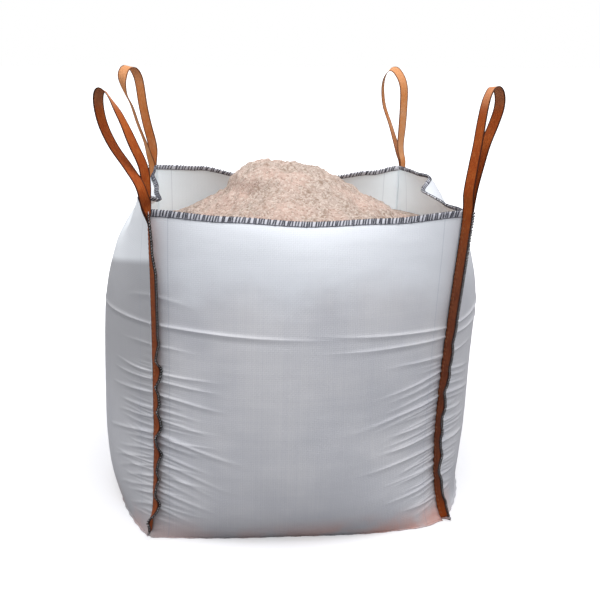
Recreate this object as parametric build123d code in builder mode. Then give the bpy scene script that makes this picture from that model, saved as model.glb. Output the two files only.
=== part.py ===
from build123d import *
import math
import os

# A filled bulk bag: four bulging fabric walls and a base sewn together, a webbing strap
# at each corner that stands up as a lifting loop, and a heaped load of sand.
# Millimetres. +X right, +Y back, +Z up, origin on the floor under the bag's middle.

# --- bag: driving dimensions ---
BAG_HEIGHT = 885.0  # floor to the top edge of the walls
# middle of the bag to each corner, along X and along Y, at the rim and at the base
RIM_HALF = {"front_left": 398.0, "front_right": 406.0, "back_right": 402.0, "back_left": 402.0}
BASE_HALF = {"front_left": 422.0, "front_right": 396.0, "back_right": 404.0, "back_left": 412.0}
# floor to where each wall bulges most
BELLY_HEIGHT = {"front": 240.0, "right": 320.0, "back": 260.0, "left": 240.0}
ROUNDNESS = 0.98  # 1 is a full quarter ellipse from belly to rim and to floor
WAIST_POWER = 0.53  # shapes where a corner seam is drawn in most
SEAM_WAIST = {"front_left": 14.0, "front_right": 32.0, "back_right": 22.0, "back_left": 18.0}
RIM_BULGE = {"front": 34.0, "right": 26.0, "back": 28.0, "left": 20.0}
BELLY_BULGE = {"front": 148.0, "right": 164.0, "back": 150.0, "left": 160.0}
BASE_BULGE = {"front": 40.0, "right": 108.0, "back": 90.0, "left": 102.0}
WALL = 2.0  # thickness of a wall
BASE_THICKNESS = 3.0  # the base sheet, and the seam allowances around it
CORNER_FLAT = 4.0  # half the small flat across an inside corner

# --- seams and hems ---
FIT = 0.2  # gap left between sewn pieces that lie on each other
SEAM_THICKNESS = 3.0  # turned-out edges of two walls, sewn together
SEAM_WIDTH = 35.0  # how far they stand out from the corner
SEAM_ROOT = 1.8  # and how far they reach in between the walls' ends
EDGE_THREAD_REACH = 12.0  # overlock thread, from the seam's outer edge inwards
THREAD = 1.0  # thickness of a layer of overlock thread
HEM_WIDTH = 18.0  # overlocked top edge of a wall
BASE_SEAM_OUT = 8.0  # base seam allowance outside the walls
BASE_SEAM_IN = 10.0  # and inside them

# --- webbing straps ---
WEBBING_WIDTH = 35.0
WEBBING_THICKNESS = 2.5
LEG_CLEAR = 0.6  # a sewn leg stays this far out from the walls
LOOP_LENGTH = 334.0  # fold line at the rim to the top of a standing loop
LOOP_HALF_GAP = 26.0  # half the open width inside a loop's crown
NECK = 5.0  # fold line to where the two strands part
LOOP_LEAN = {"front_left": -25.0, "front_right": 16.0, "back_right": 10.0, "back_left": 15.0}

# --- load ---
SAND_BELOW_RIM = 147.0  # from the rim down to the sand in the bag's corners
SAND_LEVEL = BAG_HEIGHT - SAND_BELOW_RIM
SAND_CLEAR = 0.4
HEAP_RADIUS = 520.0  # where the heap's slope would reach SAND_LEVEL
HEAP_CREST_ROUND = 290.0  # radius of the round top of the heap
HEAP_ABOVE_RIM = 70.0
HEAP_HEIGHT = BAG_HEIGHT + HEAP_ABOVE_RIM  # floor to the top of the heap
HEAP_X, HEAP_Y = -25.0, 20.0

CORNERS = {"front_left": (-1, -1), "front_right": (1, -1), "back_right": (1, 1), "back_left": (-1, 1)}
SIDES = {
    "front": ("front_left", "front_right"),
    "right": ("front_right", "back_right"),
    "back": ("back_right", "back_left"),
    "left": ("back_left", "front_left"),
}
WALL_BOTTOM = BASE_THICKNESS + FIT
HEM_BOTTOM = BAG_HEIGHT - HEM_WIDTH
HEM_TOP = BAG_HEIGHT + FIT + THREAD
PACK_HALF = SEAM_THICKNESS / 2 + FIT + WEBBING_THICKNESS  # half of seam and two legs together
LOOP_AXIS_HEIGHT = HEM_TOP + FIT + PACK_HALF
WALL_SPANS = 16  # straight bands that a wall is built from, floor to hem


def outward(corner):
    """Horizontal unit vector along a corner's diagonal, away from the bag."""
    sign_x, sign_y = CORNERS[corner]
    return Vector(sign_x, sign_y).normalized()


def along(corner):
    """Horizontal unit vector square to the diagonal, counter-clockwise seen from above."""
    u = outward(corner)
    return Vector(-u.Y, u.X)


def seam_radius(corner, height):
    """Distance from the bag's middle to a corner seam along the diagonal, at a height."""
    share = min(max(height / BAG_HEIGHT, 0.0), 1.0)
    half = BASE_HALF[corner] + (RIM_HALF[corner] - BASE_HALF[corner]) * share
    half -= SEAM_WAIST[corner] * math.sin(math.pi * share**WAIST_POWER)
    return half * math.sqrt(2)


def ellipse_share(step):
    """1 at the belly and 0 at the end of a wall, along a nearly quarter ellipse."""
    low = math.sqrt(1 - ROUNDNESS**2)
    return (math.sqrt(1 - (ROUNDNESS * step) ** 2) - low) / (1 - low)


def bulge(side, height):
    """How far the middle of a wall stands out from the line between its corners."""
    belly = BELLY_HEIGHT[side]
    if height < belly:
        end, step = BASE_BULGE[side], (belly - height) / belly
    else:
        end, step = RIM_BULGE[side], (height - belly) / (BAG_HEIGHT - belly)
    return end + (BELLY_BULGE[side] - end) * ellipse_share(min(step, 1.0))


def wall_heights():
    """Heights of a wall's sections, closer together towards its curved ends."""
    middle = (WALL_BOTTOM + HEM_BOTTOM) / 2
    reach = (HEM_BOTTOM - WALL_BOTTOM) / 2
    return [middle - reach * math.cos(math.pi * i / WALL_SPANS) for i in range(WALL_SPANS + 1)]


def wall_arc(side, height, out):
    """Centre, radius and outward normal of the arc a wall follows, `out` outside its outer face."""
    first, second = (outward(corner) * seam_radius(corner, height) for corner in SIDES[side])
    half_chord = (second - first).length / 2
    direction = (second - first).normalized()
    normal = Vector(direction.Y, -direction.X)
    rise = bulge(side, height)
    radius = (half_chord**2 + rise**2) / (2 * rise)
    return (first + second) / 2 - normal * (radius - rise), radius + out, normal


def arc_points(side, height, out, end_gap):
    """Start, middle and end of a wall's arc, cut off `end_gap` short of both diagonals."""
    centre, radius, normal = wall_arc(side, height, out)
    ends = []
    for corner, turn in zip(SIDES[side], (1, -1)):
        shift = along(corner) * turn * end_gap
        reach = (centre - shift).dot(outward(corner))
        offset = (centre - shift).length ** 2 - reach**2
        ends.append(shift + outward(corner) * (reach + math.sqrt(radius**2 - offset)))
    return ends[0], centre + normal * radius, ends[1]


def wall_section(side, height, out=0.0, into=WALL, end_gap=SEAM_THICKNESS / 2 + FIT):
    """Horizontal section of a wall, or of a band that reaches out and in from its outer face."""
    outer = arc_points(side, height, out, end_gap)
    inner = arc_points(side, height, -into, end_gap)
    with BuildSketch(Plane.XY.offset(height)) as section:
        with BuildLine():
            ThreePointArc(*outer)
            Line(outer[2], inner[2])
            ThreePointArc(*reversed(inner))
            Line(inner[0], outer[0])
        make_face()
    return section.sketch


def bag_outline(height, into):
    """Full horizontal section of the bag's inside, `into` in from the walls' outer faces."""
    arcs = [arc_points(side, height, -into, CORNER_FLAT) for side in SIDES]
    with BuildSketch(Plane.XY.offset(height)) as section:
        with BuildLine():
            for arc, following in zip(arcs, arcs[1:] + arcs[:1]):
                ThreePointArc(*arc)
                Line(arc[2], following[0])
        make_face()
    return section.sketch


def finish(part, label):
    """Label a finished piece and write its STEP file."""
    part.label = label
    export_step(part, f"parts/{label}.step")
    print(f"{label}: {part.volume / 1000:.1f} cm3, {len(part.solids())} solid(s), valid {part.is_valid}")


def diagonal_plane(corner, side_step=0.0):
    """Upright plane through a corner's diagonal: x outwards, y up."""
    return Plane(origin=along(corner) * side_step, x_dir=outward(corner),
                 z_dir=outward(corner).cross(Vector(0, 0, 1)))


def seam_strip(plane, corner, inner, outer, bottom, top, thickness):
    """A flat strip in an upright plane that follows a corner seam, in the open part."""
    between = [h for h in wall_heights() + [BAG_HEIGHT] if bottom + FIT / 2 < h < top - FIT / 2]
    heights = [bottom, *between, top]
    with BuildSketch(plane) as strip:
        with BuildLine():
            near = [(seam_radius(corner, h) + inner, h) for h in heights]
            far = [(seam_radius(corner, h) + outer, h) for h in heights]
            Polyline(*near, *reversed(far), close=True)
        make_face()
    extrude(strip.sketch, amount=thickness / 2, both=True)


def make_wall(side):
    """One fabric wall, from the base seam to the rim."""
    with BuildPart() as wall:
        loft([wall_section(side, height) for height in wall_heights() + [BAG_HEIGHT]], ruled=True)
    finish(wall.part, f"{side}_panel")


def make_hem(side):
    """The overlocked top edge of a wall: thread over both faces and the edge."""
    end_gap = PACK_HALF + FIT
    cover = FIT + THREAD
    with BuildPart() as hem:
        loft([wall_section(side, height, cover, WALL + cover, end_gap)
              for height in (HEM_BOTTOM, BAG_HEIGHT, HEM_TOP)], ruled=True)
        loft([wall_section(side, height, FIT, WALL + FIT, 0.0)
              for height in (HEM_BOTTOM, BAG_HEIGHT, BAG_HEIGHT + FIT)], ruled=True, mode=Mode.SUBTRACT)
    finish(hem.part, f"{side}_rim_hem")


def make_base_seam(side):
    """The seam allowance under a wall, flat on the floor."""
    with BuildPart() as base_seam:
        extrude(wall_section(side, 0.0, BASE_SEAM_OUT, WALL + BASE_SEAM_IN, FIT),
                amount=BASE_THICKNESS)
    finish(base_seam.part, f"{side}_base_seam")


def make_corner_seam(corner):
    """The turned-out edges of two walls, standing out along the diagonal."""
    with BuildPart() as seam:
        seam_strip(diagonal_plane(corner), corner, -SEAM_ROOT, SEAM_WIDTH,
                   WALL_BOTTOM, HEM_TOP, SEAM_THICKNESS)
    finish(seam.part, f"{corner}_seam")


def make_edge_thread(corner):
    """Overlock thread over the outer edge of a corner seam and its two webbing legs."""
    cover = PACK_HALF + FIT
    with BuildPart() as thread:
        seam_strip(diagonal_plane(corner), corner, SEAM_WIDTH - EDGE_THREAD_REACH,
                   SEAM_WIDTH + LEG_CLEAR + FIT + THREAD, WALL_BOTTOM, HEM_TOP, 2 * (cover + THREAD))
        with BuildPart(mode=Mode.PRIVATE) as pack:
            seam_strip(diagonal_plane(corner), corner, 0.0, SEAM_WIDTH + LEG_CLEAR + FIT,
                       0.0, BAG_HEIGHT + HEM_WIDTH, 2 * cover)
        add(pack.part, mode=Mode.SUBTRACT)
    finish(thread.part, f"{corner}_seam_thread")


def make_webbing_leg(corner, turn, side):
    """One end of a strap, sewn along a face of the corner seam from rim to floor."""
    step = turn * (SEAM_THICKNESS / 2 + FIT + WEBBING_THICKNESS / 2)
    with BuildPart() as leg:
        seam_strip(diagonal_plane(corner, step), corner, LEG_CLEAR, LEG_CLEAR + WEBBING_WIDTH,
                   WALL_BOTTOM, HEM_TOP, WEBBING_THICKNESS)
    finish(leg.part, f"{corner}_webbing_{side}_leg")


def make_loop(corner):
    """The free part of a strap, standing above the rim as a narrow leaning loop."""
    lean = math.radians(LOOP_LEAN[corner])
    middle = seam_radius(corner, BAG_HEIGHT) + LEG_CLEAR + WEBBING_WIDTH / 2
    fold = Plane(origin=outward(corner) * middle + Vector(0, 0, LOOP_AXIS_HEIGHT),
                 x_dir=along(corner), z_dir=outward(corner))
    crown_radius = LOOP_HALF_GAP + WEBBING_THICKNESS
    crown = (LOOP_LENGTH - crown_radius) * Vector(math.sin(lean), math.cos(lean))
    neck = NECK * Vector(math.sin(lean), math.cos(lean))
    with BuildPart() as loop:
        with BuildSketch(fold) as strap:
            Circle(PACK_HALF)
            with Locations(crown):
                Circle(crown_radius)
            make_hull()
            with BuildSketch(mode=Mode.PRIVATE) as gap:
                with Locations(neck):
                    Circle(PACK_HALF - WEBBING_THICKNESS)
                with Locations(crown):
                    Circle(LOOP_HALF_GAP)
                make_hull()
            add(gap.sketch, mode=Mode.SUBTRACT)
        extrude(amount=WEBBING_WIDTH / 2, both=True)
    finish(loop.part, f"{corner}_loop")


def make_base():
    """The base sheet, inside the base seams."""
    with BuildPart() as base:
        extrude(bag_outline(0.0, WALL + BASE_SEAM_IN + FIT), amount=BASE_THICKNESS)
    finish(base.part, "base_panel")


def make_sand():
    """The load: it fills the bag to below the rim and stands up in a heap out to the walls."""
    inset = WALL + SAND_CLEAR
    centre_height = HEAP_HEIGHT - HEAP_CREST_ROUND
    centre_rise = centre_height - SAND_LEVEL
    angle = math.atan2(centre_rise, HEAP_RADIUS)
    angle += math.asin(HEAP_CREST_ROUND / math.hypot(centre_rise, HEAP_RADIUS))
    slope_top = (HEAP_X + HEAP_CREST_ROUND * math.sin(angle),
                 centre_height + HEAP_CREST_ROUND * math.cos(angle))
    outer = HEAP_X + HEAP_RADIUS + BAG_HEIGHT
    with BuildPart() as sand:
        loft([bag_outline(height, inset) for height in wall_heights()], ruled=True)
        extrude(bag_outline(HEM_BOTTOM, inset), amount=HEAP_HEIGHT)
        with BuildSketch(Plane.XZ.offset(-HEAP_Y)):
            with BuildLine():
                slope = Line((HEAP_X + HEAP_RADIUS, SAND_LEVEL), slope_top)
                TangentArc(slope @ 1, (HEAP_X, HEAP_HEIGHT), tangent=slope % 1)
                Polyline((HEAP_X, HEAP_HEIGHT), (HEAP_X, 0), (outer, 0), (outer, SAND_LEVEL), slope @ 0)
            make_face()
        revolve(axis=Axis((HEAP_X, HEAP_Y, 0), (0, 0, 1)), mode=Mode.INTERSECT)
    finish(sand.part, "sand_fill")


os.makedirs("parts", exist_ok=True)
make_base()
make_sand()
for wall_side in SIDES:
    make_wall(wall_side)
    make_hem(wall_side)
    make_base_seam(wall_side)
for bag_corner in CORNERS:
    make_corner_seam(bag_corner)
    make_edge_thread(bag_corner)
    make_webbing_leg(bag_corner, 1, "first")
    make_webbing_leg(bag_corner, -1, "second")
    make_loop(bag_corner)
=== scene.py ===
import logging
import math
from collections.abc import Callable, Sequence
from dataclasses import dataclass
from enum import Enum

import bmesh
import bpy
import numpy as np
from mathutils import Matrix, Vector, noise


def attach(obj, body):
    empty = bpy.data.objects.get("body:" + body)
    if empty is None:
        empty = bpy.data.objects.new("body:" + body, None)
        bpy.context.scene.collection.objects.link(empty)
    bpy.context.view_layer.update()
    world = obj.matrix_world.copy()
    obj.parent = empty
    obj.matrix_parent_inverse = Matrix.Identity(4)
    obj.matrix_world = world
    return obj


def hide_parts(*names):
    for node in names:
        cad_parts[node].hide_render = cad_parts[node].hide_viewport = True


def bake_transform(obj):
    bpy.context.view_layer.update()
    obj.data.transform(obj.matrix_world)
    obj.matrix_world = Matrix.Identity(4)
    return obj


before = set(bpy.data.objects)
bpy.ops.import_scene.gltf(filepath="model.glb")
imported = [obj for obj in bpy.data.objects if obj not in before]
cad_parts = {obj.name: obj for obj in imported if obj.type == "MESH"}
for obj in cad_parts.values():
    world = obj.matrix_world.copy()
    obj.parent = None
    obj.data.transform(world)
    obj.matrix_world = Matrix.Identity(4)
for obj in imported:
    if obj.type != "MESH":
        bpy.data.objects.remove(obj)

# A filled bulk bag: four bulging walls of woven cloth sewn to a base, overlocked at the rim
# and at the seams, a webbing strap at each corner that stands up as a lifting loop, and a
# heaped load of damp sand. Metres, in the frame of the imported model.

log = logging.getLogger("bulk_bag")
Array = np.ndarray
UP = np.array([0.0, 0.0, 1.0])
LEVEL = np.array([1.0, 1.0, 0.0])
Pairs = tuple[tuple[float, float], ...]
Socket = bpy.types.NodeSocket
Material = bpy.types.Material
BAG = "bag"


def smooth(share: Array) -> Array:
    """Eases 0 to 1 with level ends."""
    share = np.clip(share, 0.0, 1.0)
    return share * share * (3.0 - 2.0 * share)


def unit(vectors: Array) -> Array:
    """Rows of vectors, each made one long."""
    return vectors / np.maximum(np.linalg.norm(vectors, axis=-1, keepdims=True), 1e-12)


def through(pairs: Sequence[tuple[float, float]], at: Array) -> Array:
    """A curve with level steps through the pairs.

    Args:
        pairs: Place and value, in order of place.
        at: The places wanted.

    Returns:
        The value at each place, eased between the pairs.
    """
    places = np.array([p[0] for p in pairs])
    values = np.array([p[1] for p in pairs])
    at = np.clip(at, places[0], places[-1])
    after = np.clip(np.searchsorted(places, at, side="right"), 1, len(places) - 1)
    share = smooth((at - places[after - 1]) / (places[after] - places[after - 1]))
    return values[after - 1] + (values[after] - values[after - 1]) * share


def fine_noise(points: Array, scale: float, seed: float) -> Array:
    """Smooth noise from -1 to 1 at each point, with lumps about 1 / scale metres across.

    Args:
        points: One row of X, Y and Z for each point.
        scale: How many lumps there are in a metre.
        seed: Which noise it is.

    Returns:
        The noise at each point.
    """
    shift = Vector((seed, seed * 0.37, seed * 0.71))
    return np.array([noise.noise(Vector(p) * scale + shift) for p in points])


def run_of(line: Array) -> Array:
    """How far along a line each of its points is."""
    return np.concatenate([[0.0], np.cumsum(np.linalg.norm(np.diff(line, axis=0), axis=1))])


def read_off(at: Array | float, run: Array, rows: Array) -> Array:
    """X, Y and Z at places along a line, from the rows at its points."""
    return np.stack([np.interp(at, run, rows[:, k]) for k in range(3)], axis=-1)


def ways(line: Array) -> Array:
    """The unit vector along a line at each of its points."""
    return unit(np.gradient(line, axis=0))


def side_by_side(first: Array, second: Array) -> Array:
    """Two columns as one array of rows."""
    return np.stack([first, second], axis=1)


# --- the bag's shape ---


@dataclass(frozen=True)
class Corner:
    """One corner seam of the bag, with the strap that is sewn to it.

    seam_turn is the seam's turn in degrees at heights, and sway how far its slack part swings.
    loop is the loop's middle line from its hinge, in millimetres along, up and outwards, and
    loop_turn is its twist in degrees at shares of its length.
    """

    name: str
    x: int
    y: int
    rim_half: float
    base_half: float
    waist: float
    rim_lift: float
    seam_turn: Pairs
    sway: float
    loop: tuple[tuple[float, ...], ...]
    loop_turn: Pairs
    seam_foot: float = 0.004
    waves: Pairs = ((0.075, 1.0), (0.121, 0.6), (0.034, 0.25))
    slack_top: float = 0.62

    @property
    def outward(self) -> Array:
        """The level unit vector from the bag's middle to the corner."""
        return unit(np.array([float(self.x), float(self.y), 0.0]))

    @property
    def along(self) -> Array:
        """The level unit vector square to outward, anticlockwise seen from above."""
        out = self.outward
        return np.array([-out[1], out[0], 0.0])

    def seam_radius(self, height: Array) -> Array:
        """How far the seam is from the bag's upright middle line at each height.

        Args:
            height: Heights above the floor, before the rim is lifted.

        Returns:
            The distance at each height.
        """
        share = np.clip(height / BagForm.height, 0.0, 1.0)
        half = self.base_half + (self.rim_half - self.base_half) * share
        return (half - self.waist * np.sin(np.pi * share**BagForm.waist_power)) * math.sqrt(2)

    def seam_point(self, height: Array) -> Array:
        """The line where the two walls meet."""
        height = np.asarray(height, float)
        lifted = height + self.rim_lift * BagForm.rim_weight(height)
        return self.outward * self.seam_radius(height)[..., None] + UP * lifted[..., None]

    def seam_way(self, height: Array) -> Array:
        """The level unit vector in which the sewn edges stand out from the corner.

        Args:
            height: Heights above the floor.

        Returns:
            One vector for each height, turned and slack as the seam is.
        """
        height = np.asarray(height, float)
        turn = through(self.seam_turn, height)
        slack = self.sway * smooth((self.slack_top - height) / 0.15)
        phase = 40.0 * self.waist + 3.1 * self.x + 1.7 * self.y
        for wave, size in self.waves:
            turn = turn + slack * size * np.sin(2 * math.pi * height / wave + phase / wave)
        angle = np.radians(turn)[..., None]
        return self.outward * np.cos(angle) + self.along * np.sin(angle)


@dataclass(frozen=True)
class Side:
    """One wall of the bag, between two corner seams.

    rim_drop and rim_push are how far the rim sags and leans out at shares of the wall's
    width, and foot_push is how far the foot stands out.
    """

    name: str
    start: str
    end: str
    belly_height: float
    rim_bulge: float
    belly_bulge: float
    base_bulge: float
    rim_drop: Pairs
    rim_push: Pairs
    seed: int
    shoulder: float = 0.0
    shoulder_height: float = 0.60
    shoulder_spread: float = 0.14
    foot_push: Pairs = ((0.0, 0.0), (1.0, 0.0))
    foot_reach: float = 0.22
    hem_width: float = 0.0140
    stitch_pitch: float = 0.0092
    thread_radius: float = 0.0009

    @property
    def corners(self) -> tuple["Corner", "Corner"]:
        """The corner where the wall starts, and the one where it ends."""
        return CORNERS[self.start], CORNERS[self.end]

    def bulge(self, height: Array) -> Array:
        """How far the wall stands out past the straight line between its seams.

        Args:
            height: Heights on the undented wall.

        Returns:
            The bulge at the wall's middle, at each height.
        """
        below = height < self.belly_height
        run = np.where(below, self.belly_height, BagForm.height - self.belly_height)
        step = np.clip(np.abs(height - self.belly_height) / run, 0.0, 1.0)
        end = np.where(below, self.base_bulge, self.rim_bulge)
        low = math.sqrt(1 - BagForm.roundness**2)
        full = (np.sqrt(1 - (BagForm.roundness * step) ** 2) - low) / (1 - low)
        shoulder = self.shoulder * np.exp(-(((height - self.shoulder_height) / self.shoulder_spread) ** 2))
        return end + (self.belly_bulge - end) * full + shoulder

    def plain_point(self, share: Array, height: Array) -> Array:
        """A point on the wall before it is dented or creased.

        Args:
            share: 0 at the first seam to 1 at the second, along the wall's curve.
            height: The height of the same point on an undented wall.

        Returns:
            One row of X, Y and Z for each point.
        """
        share, height = np.broadcast_arrays(np.asarray(share, float), np.asarray(height, float))
        first, second = self.corners
        a = first.outward * first.seam_radius(height)[..., None]
        b = second.outward * second.seam_radius(height)[..., None]
        chord = b - a
        half = np.linalg.norm(chord, axis=-1) / 2
        way = unit(chord)
        out = np.cross(way, UP)
        bulge = self.bulge(height)
        radius = (half**2 + bulge**2) / (2 * bulge)
        angle = (2 * share - 1) * np.arcsin(half / radius)
        middle = (a + b) / 2 - out * (radius - bulge)[..., None]
        swept = way * np.sin(angle)[..., None] + out * np.cos(angle)[..., None]
        foot = through(self.foot_push, share) * smooth(1.0 - height / self.foot_reach)
        return middle + swept * radius[..., None] + out * foot[..., None] + UP * height[..., None]

    def hung_point(self, share: Array, height: Array) -> Array:
        """The same point with the free top of the wall sagged and dented.

        Args:
            share: 0 at the first seam to 1 at the second.
            height: The height on the undented wall.

        Returns:
            One row of X, Y and Z for each point.
        """
        point = self.plain_point(share, height)
        weight = BagForm.rim_weight(np.asarray(height, float))
        first, second = self.corners
        lift = first.rim_lift + (second.rim_lift - first.rim_lift) * smooth(share)
        drop = lift - through(self.rim_drop, np.asarray(share, float))
        push = through(self.rim_push, np.asarray(share, float))
        out = unit(np.cross(second.outward - first.outward, UP))
        return point + UP * (drop * weight)[..., None] + out * (push * weight**1.5)[..., None]

    def length_to_seam(self, share: Array) -> Array:
        """About how far along the cloth each point is from its nearer seam."""
        return np.minimum(share, 1.0 - share) * BagForm.cut_width


@dataclass(frozen=True)
class BagForm:
    """Sizes that all the walls share."""

    height: float = 0.885
    roundness: float = 0.98
    waist_power: float = 0.53
    cut_width: float = 0.87
    cut_height: float = 0.97
    sand_line: float = 0.725
    wall: float = 0.0016
    base: float = 0.003

    @staticmethod
    def rim_weight(height: Array) -> Array:
        """0 where sand fills the bag, up to 1 at the rim."""
        free = (height - BagForm.sand_line) / (BagForm.height - BagForm.sand_line)
        return np.clip(free, 0.0, 1.0) ** 1.3


CORNERS = {
    "front_left": Corner(
        "front_left", -1, -1, 0.398, 0.422, 0.014, 0.004,
        seam_turn=((0.0, 18.0), (0.04, 38.0), (0.10, 62.0), (0.35, 70.0), (0.55, 74.0), (0.72, 74.0),
                   (0.79, 58.0), (0.885, 48.0)),
        sway=11.0,
        loop=((4, 0, 0), (3, 45, -8), (-6, 104, -10), (-30, 160), (-58, 205), (-92, 250), (-116, 275),
              (-138, 291), (-152, 280), (-154, 248), (-139, 200), (-98, 150, 4), (-34, 104, 14),
              (16, 66, 24), (22, 28, 16), (12, 0, 0)),
        loop_turn=((0.0, 0.0), (0.2, 0.0), (0.30, 14.0), (0.38, 34.0), (0.45, 34.0), (0.53, 6.0),
                   (0.65, 0.0), (1.0, 0.0)),
        seam_foot=0.016,
    ),
    "front_right": Corner(
        "front_right", 1, -1, 0.406, 0.396, 0.032, -0.006,
        seam_turn=((0.0, 14.0), (0.04, 4.0), (0.12, -20.0), (0.32, -22.0), (0.50, -9.0), (0.80, -2.0),
                   (0.885, 0.0)),
        sway=6.0,
        loop=((-3, 0), (-6, 35), (13, 107), (28, 156), (40, 206), (55, 255), (70, 282),
              (94, 300), (121, 292), (134, 268), (130, 240), (104, 200), (67, 153), (41, 104),
              (12, 42), (3, 0)),
        loop_turn=((0.0, 0.0), (0.22, -14.0), (0.42, -22.0), (0.52, 0.0), (0.62, 4.0), (1.0, 0.0)),
    ),
    "back_right": Corner(
        "back_right", 1, 1, 0.402, 0.404, 0.022, 0.002,
        seam_turn=((0.0, 12.0), (0.4, -10.0), (0.885, 0.0)),
        sway=6.0,
        loop=((-3, 0), (9, 58), (5, 125), (2, 195), (4, 255), (22, 293), (50, 313), (76, 292),
              (87, 255), (80, 192), (52, 128), (26, 62), (3, 0)),
        loop_turn=((0.0, 0.0), (0.2, -16.0), (0.5, -26.0), (0.8, -14.0), (1.0, 0.0)),
    ),
    "back_left": Corner(
        "back_left", -1, 1, 0.402, 0.412, 0.018, 0.010,
        seam_turn=((0.0, -10.0), (0.4, 12.0), (0.885, 0.0)),
        sway=6.0,
        loop=((-3, 0), (-4, 60), (18, 133), (34, 197), (44, 258), (54, 292), (78, 318),
              (104, 315), (117, 290), (113, 258), (101, 228), (82, 200), (56, 135), (24, 68),
              (3, 0)),
        loop_turn=((0.0, 0.0), (0.10, 22.0), (0.20, 18.0), (0.38, 20.0), (0.47, -18.0),
                   (0.55, -32.0), (0.63, 8.0), (0.70, 28.0), (0.9, 22.0), (1.0, 0.0)),
    ),
}

FRONT = Side("front", "front_left", "front_right", 0.240, 0.034, 0.148, 0.040,
             rim_drop=((0.0, 0.0), (0.25, 0.013), (0.5, 0.024), (0.75, 0.015), (1.0, 0.0)),
             rim_push=((0.0, 0.0), (0.3, 0.003), (0.55, -0.002), (1.0, 0.0)), seed=11,
             foot_push=((0.0, 0.0), (0.40, 0.002), (0.80, 0.023), (0.91, 0.024), (1.0, 0.003)),
             hem_width=0.0165, stitch_pitch=0.0071, thread_radius=0.00095)
RIGHT = Side("right", "front_right", "back_right", 0.320, 0.026, 0.164, 0.108,
             rim_drop=((0.0, 0.0), (0.3, 0.018), (0.46, 0.008), (0.62, -0.014), (0.8, -0.004),
                       (1.0, 0.0)),
             rim_push=((0.0, 0.0), (0.30, -0.018), (0.46, -0.050), (0.62, 0.0), (0.8, 0.0),
                       (1.0, 0.0)), seed=23, shoulder=0.018, hem_width=0.0105,
             thread_radius=0.0007)
BACK = Side("back", "back_right", "back_left", 0.260, 0.028, 0.150, 0.090,
            rim_drop=((0.0, 0.0), (0.12, 0.018), (0.28, 0.036), (0.66, 0.030), (0.82, 0.006),
                      (1.0, 0.0)),
            rim_push=((0.0, 0.0), (0.45, -0.012), (1.0, 0.0)), seed=37)
LEFT = Side("left", "back_left", "front_left", 0.240, 0.032, 0.160, 0.102,
            rim_drop=((0.0, 0.0), (0.16, 0.006), (0.54, 0.032), (0.80, -0.012), (1.0, 0.0)),
            rim_push=((0.0, 0.0), (0.14, -0.012), (0.40, -0.044), (0.56, -0.056), (0.80, 0.006),
                      (1.0, 0.0)), seed=41, shoulder=0.008, hem_width=0.0120,
            thread_radius=0.0008)
SIDES = (FRONT, RIGHT, BACK, LEFT)


# --- materials ---


class Slot(Enum):
    """The record's material slots."""

    FABRIC = "fabric"
    WEBBING = "webbing"
    THREAD = "thread"
    SAND = "sand"


def linear(hex_code: str) -> tuple[float, float, float, float]:
    """An sRGB hex colour as linear red, green and blue, with alpha 1.

    Args:
        hex_code: The colour, as #rrggbb.

    Returns:
        The linear colour.
    """
    parts = [int(hex_code[i : i + 2], 16) / 255 for i in (1, 3, 5)]
    made = [p / 12.92 if p <= 0.04045 else ((p + 0.055) / 1.055) ** 2.4 for p in parts]
    return (made[0], made[1], made[2], 1.0)


def add(tree: bpy.types.NodeTree, kind: str, inputs: dict | tuple = (), **settings) -> bpy.types.Node:
    """Adds a node.

    Args:
        tree: The material's or world's node tree.
        kind: The node's type, without its "ShaderNode" start.
        inputs: A value, a hex colour or an output socket for each input, in order or by name or number.
        settings: The node's own properties.

    Returns:
        The new node.
    """
    made = tree.nodes.new("ShaderNode" + kind)
    for name, value in settings.items():
        setattr(made, name, value)
    for key, value in (inputs if isinstance(inputs, dict) else dict(enumerate(inputs))).items():
        if isinstance(value, Socket):
            tree.links.new(value, made.inputs[key])
        else:
            made.inputs[key].default_value = linear(value) if isinstance(value, str) else value
    return made


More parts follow.
